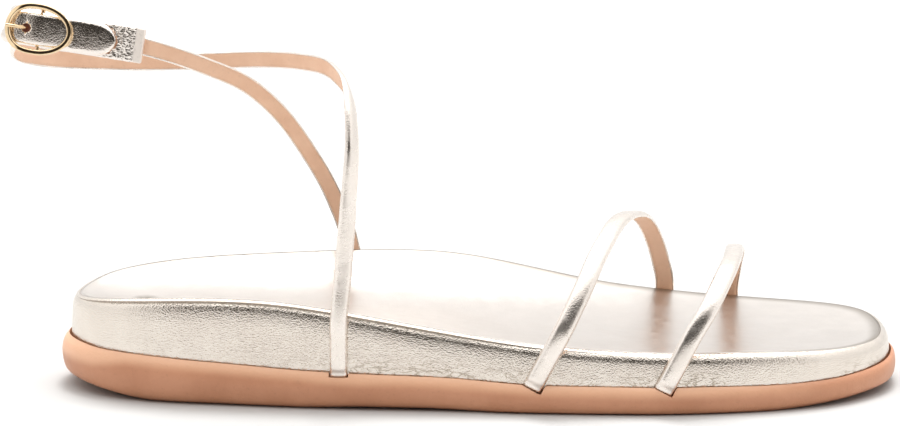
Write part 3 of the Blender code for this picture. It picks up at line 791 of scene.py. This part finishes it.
def build_insole():
    item = smooth_copy("insole", "insole_cover", [GOLD_TOP], INSOLE_ROUNDS)
    points, normals = arrays_of(item.data)
    wave = waves(points, *INSOLE_WAVES)
    side = KDTree(len(points))
    edge = np.array([WALL[0].find(p)[2] < INSOLE_EDGE for p in points])
    upright = edge & (np.abs(normals[:, 2]) < INSOLE_TILT)
    for index in np.flatnonzero(upright):
        side.insert(points[index], int(index))
    side.balance()
    inward = np.array([side.find(p)[2] for p in points])
    # the painted shade along the insole's edge: its strength on each side, and its width in from the rim
    ends = 1 - smoothstep(*HEEL_SEAM, points[:, 0]) + SEAM_TOE * smoothstep(*TOE_SEAM, points[:, 0])
    lateral = 1 - smoothstep(*LATERAL_TO, points[:, 1])
    medial = smoothstep(*MEDIAL_SEAM_FROM, points[:, 0]) * (1 - lateral)
    near = SEAM_LATERAL + (1 - SEAM_LATERAL) * np.minimum(ends, 1)
    strength = SEAM_MEDIAL * medial + lateral * near
    wide = SEAM_WIDE * (1 + MEDIAL_WIDER * medial)
    value_on(item.data, "seam_shade", strength * (1 - smoothstep(*SEAM_FADE, inward / wide)))
    move_points(item.data, points + normals * (wave + INSOLE_FILL * upright)[:, None])
    lean_in(item, WALL)
    return item


# Straps


def full_section(half):
    """The whole section round a strap: shares of its width and thickness, and each face's material."""
    right = [(a / 2, o, kind) for a, o, kind in half]
    left = [(-a / 2, o, None) for a, o, _ in half[-2:0:-1]]
    kinds = [kind for _, _, kind in right[:-1]]
    return [(a, o) for a, o, _ in right + left], kinds + kinds[::-1]


SECTION, SECTION_KINDS = full_section(HALF_SECTION)
FLAT = [(a, flat, kind) for (a, _, kind), flat in zip(HALF_SECTION[-6:], FLAT_HEIGHTS)]
FLAT_SECTION, _ = full_section(list(HALF_SECTION[:-6]) + FLAT)
GOLD, LINED, HOLED = 0, 1, 2  # places in a strap's list of materials


def root_rows(along, side, lean=0.0):
    """Rows from a strap's end in the rand to the start of the footbed's rounded edge."""
    x = along * SOLE_LENGTH - SEAT_X
    top = rand_top(x, side)
    leave = max(rim_at(x, side) - EDGE_UP, top + ROOT_REACH)
    rows = []
    for height in (top - TAIL_DEPTH, top, top + ROOT_RISE, 0.4 * top + 0.6 * leave, leave):
        place = x + lean * (height - top)
        y, out = wall_at(place, side, top + WALL_OVER_RAND)
        rows.append((np.array([place, y, height]) + out * GAP, out))
    return rows


def placed(along, across, up):
    return np.array([along * SOLE_LENGTH - SEAT_X, across * HALF_WIDTH, up * LOOP_HEIGHT])


def ribbon_rings(rows, widths, thicks, where):
    """Sections along a smooth line through rows of (lining point, outward direction), at these shares of its
    length."""
    places = np.array([row[0] for row in rows])
    outs = np.array([row[1] for row in rows])
    steps = np.concatenate([[0], np.cumsum(np.linalg.norm(np.diff(places, axis=0), axis=1))])
    line = curve_through(steps, places)
    where = np.asarray(where) * steps[-1]
    centre = line(where)
    ahead = line(np.clip(where + SHORT_STEP, 0, steps[-1]))
    behind = line(np.clip(where - SHORT_STEP, 0, steps[-1]))
    tangent = unit(ahead - behind)
    out = curve_through(steps, outs)(where)
    out = unit(out - tangent * np.sum(out * tangent, axis=1, keepdims=True))
    across = np.cross(tangent, out)
    wide = np.interp(where, steps, widths)
    thick = np.interp(where, steps, thicks)
    domed = np.array(SECTION)
    flat = np.array(FLAT_SECTION)
    flatness = np.clip((wide / ANKLE_WIDTH - 1) / FLATTENED_AT, 0, 1)[:, None]
    height = domed[None, :, 1] * (1 - flatness) + flat[None, :, 1] * flatness
    side = across[:, None, :] * (domed[None, :, 0] * wide[:, None])[:, :, None]
    rise = out[:, None, :] * (height * thick[:, None])[:, :, None]
    return centre[:, None, :] + side + rise


def strap_mesh(name, rings, node, tab_from=None):
    """A strap from its rings, gold outside and lined inside, with the holed tab's leather from a ring on."""
    size = len(SECTION)
    count = len(rings)
    points = rings.reshape(-1, 3)
    faces = [tuple(range(size - 1, -1, -1)), tuple(range((count - 1) * size, count * size))]
    kinds = [GOLD, GOLD]
    for row in range(count - 1):
        for i in range(size):
            j = (i + 1) % size
            faces.append((row * size + i, row * size + j, (row + 1) * size + j, (row + 1) * size + i))
            outer = HOLED if tab_from is not None and row >= tab_from else GOLD
            kinds.append(LINED if SECTION_KINDS[i] == "lining" else outer)
    mesh = bpy.data.meshes.new(name)
    mesh.from_pydata([tuple(p) for p in points], [], faces)
    item = new_object(name, mesh, [GOLD_STRAP, LINING, GOLD_HOLED], node)
    mesh.polygons.foreach_set("material_index", kinds)
    tidy_normals(mesh)
    return item


def soften(item, seed):
    """The slight unevenness of leather turned over a core."""
    points, normals = arrays_of(item.data)
    layers = [(height, scale, seed + extra) for height, scale, extra in STRAP_WAVES]
    move_points(item.data, points + normals * waves(points, *layers)[:, None])
    return item


def toe_strap(name, table, roots, seed):
    free = []
    for row in table:
        place = placed(*row)
        centre = np.array([place[0], 0.0, RIM_HEIGHT * FOOT_CENTRE])
        free.append((place, unit(place - centre)))
    top = rand_top(roots[0] * SOLE_LENGTH - SEAT_X, -1)
    lean = (table[0][0] - roots[0]) * SOLE_LENGTH / (table[0][2] * LOOP_HEIGHT - top)
    rows = root_rows(roots[0], -1, lean) + free + root_rows(roots[1], 1)[::-1]
    thicks = [TAIL_THICK] * 2 + [STRAP_THICK] * (len(rows) - 4) + [TAIL_THICK] * 2
    rings = ribbon_rings(rows, [TOE_WIDTH] * len(rows), thicks, np.linspace(0, 1, TOE_RINGS))
    return soften(strap_mesh(name + "_dressed", rings, name), seed)


BUCKLE_U = unit(BUCKLE_ALONG)
UPRIGHT_W = unit(np.cross(BUCKLE_U, (0.0, 0.0, 1.0)))
UPRIGHT_V = np.cross(UPRIGHT_W, BUCKLE_U)
BUCKLE_W = UPRIGHT_W * math.cos(BUCKLE_LEAN) + UPRIGHT_V * math.sin(BUCKLE_LEAN)
BUCKLE_V = np.cross(BUCKLE_W, BUCKLE_U)


def at_buckle(u, v, w):
    """A point in the buckle's directions: along its tab, up across it, and out from the ankle."""
    corner = np.array(BUCKLE_AT) - np.array([SEAT_X, 0, 0])
    return corner + BUCKLE_U * u + BUCKLE_V * v + BUCKLE_W * w


def ankle_rows(table):
    rows = []
    for along, across, up, bearing, _ in table:
        turn = math.radians(bearing)
        rows.append((placed(along, across, up), np.array([math.cos(turn), math.sin(turn), 0.0])))
    return rows


def cut(item, cutter):
    """Takes the cutter out of the piece, and keeps the cutter's material on the new faces."""
    modifier = item.modifiers.new("cut", "BOOLEAN")
    modifier.operation = "DIFFERENCE"
    modifier.solver = "EXACT"
    modifier.material_mode = "TRANSFER"
    modifier.object = cutter
    applied(item)
    bpy.data.objects.remove(cutter)


def lateral_ankle():
    rows = root_rows(LATERAL_ROOT, -1) + ankle_rows(LATERAL_ANKLE)
    widths = [ANKLE_WIDTH] * 5 + [ANKLE_WIDTH * share for _, _, _, _, share in LATERAL_ANKLE]
    thicks = [TAIL_THICK] * 2 + [STRAP_THICK] * (len(rows) - 5) + [TAB_JOINS] * 3
    for u in TAB_RUN:
        rows.append((at_buckle(u, 0, TAB_UNDER), BUCKLE_W))
        widths.append(TAB_WIDTH)
        thicks.append(TAB_THICK)
    places = np.array([row[0] for row in rows])
    total = np.sum(np.linalg.norm(np.diff(places, axis=0), axis=1))
    body = np.linspace(0, 1 - TAB_ROUND / total, LATERAL_RINGS)
    tip = 1 - TAB_ROUND / total * (1 - np.sin(np.linspace(0, TIP_ARC, TIP_RINGS)[1:]))
    shares = np.concatenate([body, tip])
    rings = ribbon_rings(rows, widths, thicks, shares)
    for k in range(len(body), len(shares)):
        part = (shares[k] - body[-1]) / (1 - body[-1])
        middle = at_buckle(TAB_TIP - TAB_ROUND * (1 - part), 0, TAB_UNDER)
        keep = math.sqrt(max(0.0, 1 - part * part))
        rings[k] += BUCKLE_V * ((rings[k] - middle) @ BUCKLE_V)[:, None] * (keep - 1)
    along = (rings - at_buckle(0, 0, 0)) @ BUCKLE_U
    tab_from = np.searchsorted(shares, 1 - TAB_LEATHER / total)
    near = shares[:, None] > 1 - CROWN_REACH / total
    crown = TAB_CROWN * (1 - smoothstep(0.0, RING_HALF_LONG * CROWN_LONG, np.abs(along))) * near
    rings += BUCKLE_W * crown[:, :, None]
    item = strap_mesh("ankle_strap_lateral_dressed", rings, "ankle_strap_lateral", tab_from)
    soften(item, LATERAL_SEED)
    # a blind hole: its wall is the cut edge, its bottom a dark sheet of painted shade
    punch_from = TAB_UNDER + TAB_CROWN + PUNCH_SINK * TAB_THICK
    bore = [(-HOLE_AT, 0, punch_from), (-HOLE_AT, 0, punch_from + PUNCH_LONG)]
    cut(item, rod("punch", bore, HOLE_RADIUS, PUNCHED_EDGE_AND_SHADE))
    return item


def medial_ankle():
    rows = root_rows(MEDIAL_ROOT, 1) + ankle_rows(MEDIAL_ANKLE)
    behind = -KEEP_THICK / 2 - GAP
    for u in STITCHED_AT:
        rows.append((at_buckle(u, 0, behind), -BUCKLE_W))
    thicks = [TAIL_THICK] * 2 + [STRAP_THICK] * (len(rows) - 2)
    rings = ribbon_rings(rows, [ANKLE_WIDTH] * len(rows), thicks, np.linspace(0, 1, MEDIAL_RINGS))
    return soften(strap_mesh("ankle_strap_medial_dressed", rings, "ankle_strap_medial"), MEDIAL_SEED)


# Buckle


def rod(name, points, radius, material, closed=False, node=None):
    """A round rod along points in the buckle's directions."""
    curve = bpy.data.curves.new(name, "CURVE")
    curve.dimensions = "3D"
    line = curve.splines.new("POLY")
    line.points.add(len(points) - 1)
    for point, place in zip(line.points, points):
        point.co = (*at_buckle(*place), 1.0)
    line.use_cyclic_u = closed
    curve.bevel_depth = radius
    curve.bevel_resolution = ROD_FINENESS
    curve.use_fill_caps = True
    shape = bpy.data.objects.new(name + " line", curve)
    mesh = bpy.data.meshes.new_from_object(shape)
    bpy.data.objects.remove(shape)
    work = bmesh.new()
    work.from_mesh(mesh)
    bmesh.ops.remove_doubles(work, verts=work.verts, dist=WELD)
    bmesh.ops.recalc_face_normals(work, faces=work.faces)
    work.to_mesh(mesh)
    work.free()
    mesh.materials.clear()
    mesh.shade_smooth()
    return new_object(name, mesh, [material], node)


# Section of the ring, outwards and up: shares of RING_RADIUS. Its face is nearly flat and its inner edge
# chamfered.
RING_SECTION = (
    (0.50, 0.97),
    (0.86, 0.95),
    (0.97, 0.84),
    (1.00, 0.50),
    (1.00, 0.00),
    (0.90, -0.55),
    (0.50, -0.90),
    (-0.50, -0.90),
    (-0.90, -0.55),
    (-1.00, 0.00),
    (-0.96, 0.32),
    (-0.82, 0.72),
    (-0.64, 0.89),
    (-0.42, 0.95),
    (0.00, 0.97),
)
RING_TURN = math.radians(24)  # how far the ring's face turns outwards at its heel end
RING_TURN_FROM = (0.2, 0.9)  # heelward shares of the outward direction over which it turns


def tidy_normals(mesh):
    work = bmesh.new()
    work.from_mesh(mesh)
    bmesh.ops.recalc_face_normals(work, faces=work.faces)
    work.to_mesh(mesh)
    work.free()
    mesh.shade_smooth()


def ring_point(turn):
    """A point of the ring's centre line: oval towards the toe and squarer towards the heel."""
    along = math.cos(turn)
    if along < 0:
        along = -RING_HEEL_SHARE * abs(along) ** RING_SQUARE
    return (RING_HALF_LONG * along, RING_HALF_HIGH * math.sin(turn), RING_OUT)


def build_ring():
    turns = np.linspace(0, 2 * math.pi, RING_STEPS + 1)[:-1]
    line = np.array([ring_point(turn) for turn in turns])
    ahead = unit(np.roll(line, -1, axis=0) - np.roll(line, 1, axis=0))
    outward = np.stack([ahead[:, 1], -ahead[:, 0], np.zeros(len(line))], 1)
    lean = RING_TURN * smoothstep(*RING_TURN_FROM, -outward[:, 0])
    points = []
    for place, out, turn in zip(line, outward, lean):
        for across, up in RING_SECTION:
            a = across * math.cos(turn) + up * math.sin(turn)
            w = up * math.cos(turn) - across * math.sin(turn)
            u, v, _ = place + out * a * RING_RADIUS
            points.append(tuple(at_buckle(u, v, RING_OUT + w * RING_RADIUS)))
    size = len(RING_SECTION)
    faces = []
    for row in range(len(line)):
        following = (row + 1) % len(line)
        for i in range(size):
            j = (i + 1) % size
            faces.append((row * size + i, row * size + j, following * size + j, following * size + i))
    mesh = bpy.data.meshes.new("buckle_ring")
    mesh.from_pydata(points, [], faces)
    tidy_normals(mesh)
    ring = new_object("buckle_ring", mesh, [METAL], "buckle_frame")
    low = TAB_WIDTH / 2 + 2 * GAP
    path = curve_through(
        range(8),
        (
            (0, RING_HALF_HIGH, RING_OUT),
            (0, RING_HALF_HIGH - 0.0003, RING_OUT * 0.35),
            (0, low - 0.0002, 0.0002),
            (0, low - 0.0012, 0),
            (0, 0.0012 - low, 0),
            (0, 0.0002 - low, 0.0002),
            (0, 0.0003 - RING_HALF_HIGH, RING_OUT * 0.35),
            (0, -RING_HALF_HIGH, RING_OUT),
        ),
    )
    bar = rod("buckle_bar", path(np.linspace(0, 7, BAR_STEPS + 1)), BAR_RADIUS, METAL)
    return [ring, bar]


def build_pin():
    turns = np.linspace(0, 2 * math.pi, LOOP_STEPS + 1)[:-1]
    loop = [(PIN_LOOP * math.sin(t), 0, PIN_LOOP * math.cos(t)) for t in turns]
    coil = rod("pin_loop", loop, PIN_RADIUS, METAL, True, "buckle_pin")
    path = curve_through(
        range(7),
        (
            (0.0, 0, PIN_LOOP + 0.00005),
            (-0.0016, 0, PIN_LOOP + 0.0001),
            (-HOLE_AT + 0.0007, 0, TAB_UNDER),
            (-HOLE_AT - 0.0001, 0, TAB_UNDER + TAB_THICK),
            (-HOLE_AT - 0.0013, 0, RING_OUT + 0.0005),
            (-PIN_REACH + 0.0026, 0, PIN_OVER),
            (-PIN_REACH, 0, PIN_OVER),
        ),
    )
    shank = rod("pin_shank", path(np.linspace(0, 6, SHANK_STEPS + 1)), SHANK_RADIUS, METAL)
    return [coil, shank]


def build_tab():
    """The folded buckle tab: the CAD strip rounded, with the wrinkles of leather pulled round its fold."""
    mesh = NODES["buckle_tab"].data.copy()
    mesh.materials.clear()
    item = new_object("buckle_tab_leather", mesh, [GOLD_TAB], "buckle_tab")
    work = bmesh.new()
    work.from_mesh(mesh)
    bmesh.ops.remove_doubles(work, verts=work.verts, dist=WELD)
    work.to_mesh(mesh)
    work.free()
    finer = item.modifiers.new("finer", "REMESH")
    finer.mode = "VOXEL"
    finer.voxel_size = TAB_VOXEL
    rounder = item.modifiers.new("rounder", "SMOOTH")
    rounder.iterations = TAB_ROUNDS
    applied(item)
    points, normals = arrays_of(item.data)
    creases = waves(points * np.array(TAB_STRETCH), TAB_CREASES) + waves(points, TAB_WAVE)
    along = (points - at_buckle(0, 0, 0)) @ BUCKLE_U
    band = smoothstep(KEEP_LENGTH - BAND_WIDE, KEEP_LENGTH - BAND_WIDE + BAND_FADE, along)
    value_on(item.data, "band", band)
    move_points(item.data, points + normals * (creases * (1 - band))[:, None])
    item.data.shade_smooth()
    return item


# Studio


def build_floor():
    mesh = bpy.data.meshes.new("floor")
    corners = ((-1, -1), (1, -1), (1, 1), (-1, 1))
    mesh.from_pydata([(x * FLOOR_FAR, y * FLOOR_FAR, 0) for x, y in corners], [], [(0, 1, 2, 3)])
    s = Shader("Pale paper")
    s.set(Roughness=0.9, Specular_IOR_Level=0.1)
    s.finish(s.mix(s.noise(3), *FLOOR_TONES))
    floor = new_object("floor", mesh, [s.material])


def build_light():
    """A bright room with a large soft light overhead and a dark stretch of studio behind the camera."""
    world = bpy.data.worlds.new("Studio")
    bpy.context.scene.world = world
    world.use_nodes = True
    tree = world.node_tree
    background = tree.nodes["Background"]
    place = tree.nodes.new("ShaderNodeTexCoord")
    parts = tree.nodes.new("ShaderNodeSeparateXYZ")
    tree.links.new(place.outputs["Generated"], parts.inputs[0])

    def ranged(source, low, high, start, end):
        made = tree.nodes.new("ShaderNodeMapRange")
        made.interpolation_type = "SMOOTHSTEP"
        tree.links.new(source, made.inputs["Value"])
        for key, number in zip(RANGE, (low, high, start, end)):
            made.inputs[key].default_value = number
        return made.outputs["Result"]

    def product(one, two):
        made = tree.nodes.new("ShaderNodeMath")
        made.operation = "MULTIPLY"
        tree.links.new(one, made.inputs[0])
        tree.links.new(two, made.inputs[1])
        return made.outputs[0]

    level = tree.nodes.new("ShaderNodeVectorMath")
    level.operation = "MULTIPLY"
    level.inputs[1].default_value = (1.0, 1.0, 0.0)
    tree.links.new(place.outputs["Generated"], level.inputs[0])
    bearing = tree.nodes.new("ShaderNodeVectorMath")
    bearing.operation = "NORMALIZE"
    tree.links.new(level.outputs[0], bearing.inputs[0])
    compass = tree.nodes.new("ShaderNodeSeparateXYZ")
    tree.links.new(bearing.outputs[0], compass.inputs[0])
    front = ranged(compass.outputs["Y"], *FRONT_BEARING, 1.0, 0.0)
    low = ranged(parts.outputs["Z"], *FRONT_TOP, 1.0, 0.0)
    above = ranged(parts.outputs["Z"], *FRONT_FOOT, 0.0, 1.0)
    dark = product(product(front, low), above)
    keep = ranged(dark, 0.0, 1.0, 1.0, FRONT_DARK)
    upper = ranged(parts.outputs["Z"], *UPPER_FROM, HORIZON, UPPER)
    overhead = ranged(parts.outputs["Z"], *OVERHEAD_FROM, 1.0, OVERHEAD / UPPER)
    behind = ranged(parts.outputs["Y"], *BACK_FROM, 0.0, 1.0)
    steep = ranged(parts.outputs["Z"], *BACK_STEEP, 0.0, 1.0)
    back = ranged(product(behind, steep), 0.0, 1.0, 1.0, BACK_BOOST)
    strength = product(product(product(upper, overhead), keep), back)
    tree.links.new(strength, background.inputs["Strength"])
    tone = tree.nodes.new("ShaderNodeMix")
    tone.data_type = "RGBA"
    tree.links.new(dark, tone.inputs["Factor"])
    tone.inputs["A"].default_value = (*ROOM_TONE, 1.0)
    tone.inputs["B"].default_value = (*DARK_TONE, 1.0)
    tree.links.new(tone.outputs["Result"], background.inputs["Color"])


def build_lamp():
    """A soft lamp high behind the shoe, which lays the shadow in front of the sole. Nothing mirrors it."""
    data = bpy.data.lights.new("back lamp", "SUN")
    data.energy = LAMP_STRENGTH
    data.angle = LAMP_SOFT
    lamp = bpy.data.objects.new("back lamp", data)
    bpy.context.scene.collection.objects.link(lamp)
    lamp.rotation_euler = Vector(LAMP_FROM).to_track_quat("Z", "Y").to_euler()
    lamp.visible_glossy = False


def build_camera():
    data = bpy.data.cameras.new("camera")
    camera = bpy.data.objects.new("camera", data)
    bpy.context.scene.collection.objects.link(camera)
    camera.location = CAMERA_AT
    camera.rotation_euler = (Vector(CAMERA_TO) - Vector(CAMERA_AT)).to_track_quat("-Z", "Y").to_euler()
    data.lens = CAMERA_LENS
    data.sensor_width = SENSOR_WIDE
    data.clip_end = CAMERA_REACH
    bpy.context.scene.camera = camera


WRAP, WALL = build_footbed()
PIECES = [build_rand(), WRAP, build_insole()]
PIECES.append(toe_strap("toe_strap_rear", REAR_TOE, REAR_TOE_ROOTS, REAR_TOE_SEED))
PIECES.append(toe_strap("toe_strap_front", FRONT_TOE, FRONT_TOE_ROOTS, FRONT_TOE_SEED))
PIECES.append(lateral_ankle())
PIECES.append(medial_ankle())
PIECES += build_ring() + build_pin() + [build_tab()]
for piece in PIECES:
    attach(piece, "root")
build_floor()
build_light()
build_lamp()
build_camera()
bpy.context.scene.view_settings.view_transform = "Standard"
